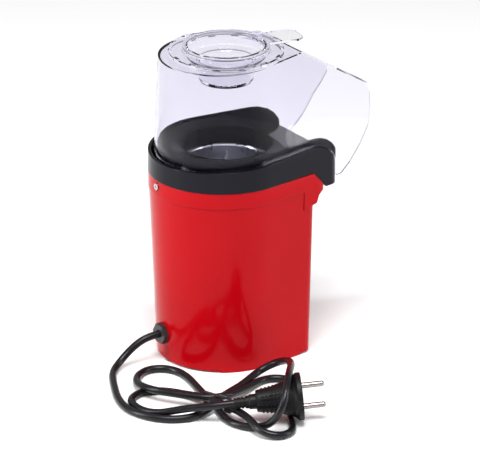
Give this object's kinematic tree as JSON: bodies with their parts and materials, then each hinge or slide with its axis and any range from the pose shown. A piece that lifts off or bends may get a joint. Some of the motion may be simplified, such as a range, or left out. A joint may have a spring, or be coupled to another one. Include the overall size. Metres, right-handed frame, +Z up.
{
  "type": "popcorn maker",
  "caption": "Hot-air popcorn maker with a red tapered body, glossy black collar and chute, clear lift-off hood, clear measuring cup, tied mains cord and plug.",
  "frame": {"origin": "on the surface that the machine stands on, under the middle of the machine's own bounding box (the mains cord and plug left out)", "axes": "+Z up; -Y is the front, where the chute points; +X is to the right seen from the front"},
  "size_m": [0.255, 0.2727, 0.2756],
  "materials": {
    "red_plastic": "glossy red moulded plastic",
    "black_gloss": "glossy black moulded plastic",
    "clear_plastic": "clear moulded plastic",
    "aluminium": "spun aluminium",
    "steel": "zinc-plated steel",
    "inner_plastic": "heat-resistant moulded plastic",
    "mica": "mica sheet",
    "heater_wire": "coiled resistance wire",
    "black_plastic": "fine-grained black plastic",
    "white_plastic": "white moulded plastic",
    "board": "phenolic board",
    "brass": "brass",
    "brass_nickel": "nickel-plated brass",
    "cord_rubber": "black flexible plastic"
  },
  "bodies": {
    "machine": {"body_shell": "red_plastic", "top_collar": "black_gloss", "popping_chamber": "aluminium", "chamber_clamp": "steel", "heater_duct": "inner_plastic", "heater_frame": "mica", "heater_coil": "heater_wire", "fan_duct": "inner_plastic", "motor_bracket": "steel", "bracket_screws": "steel", "motor_can": "steel", "motor_end_cap": "black_plastic", "motor_screws": "steel", "thermostat": "black_plastic", "thermal_fuse": "steel", "base_plate": "black_plastic", "base_screws": "steel", "rectifier_board": "board", "terminal_block": "white_plastic", "terminal_screws": "brass", "switch_housing": "black_plastic", "collar_screw": "steel", "duct_screws": "steel", "cord_gland": "black_plastic", "gland_nut": "black_plastic", "mains_cord": "cord_rubber", "cord_hank": "cord_rubber", "twist_tie": "black_plastic", "plug_body": "cord_rubber", "plug_relief": "cord_rubber", "plug_pins": "brass_nickel"},
    "hood": {"hood": "clear_plastic"},
    "cup": {"measuring_cup": "clear_plastic"},
    "fan": {"fan_impeller": "inner_plastic", "motor_shaft": "steel"},
    "rocker": {"switch_rocker": "black_plastic"}
  },
  "joints": [
    {"name": "hood_lift", "type": "slide", "parent": "machine", "child": "hood", "axis": [0, 0, 1], "range_m": [0, 0.06]},
    {"name": "cup_lift", "type": "slide", "parent": "hood", "child": "cup", "axis": [0, 0, 1], "range_m": [0, 0.035]},
    {"name": "fan_spin", "type": "hinge", "parent": "machine", "child": "fan", "pos_m": [0, 0.0288, 0.074], "axis": [0, 0, 1], "continuous": true},
    {"name": "switch_tip", "type": "hinge", "parent": "machine", "child": "rocker", "pos_m": [0, -0.0227, 0.044], "axis": [1, 0, 0], "range_deg": [-18, 0]}
  ]
}
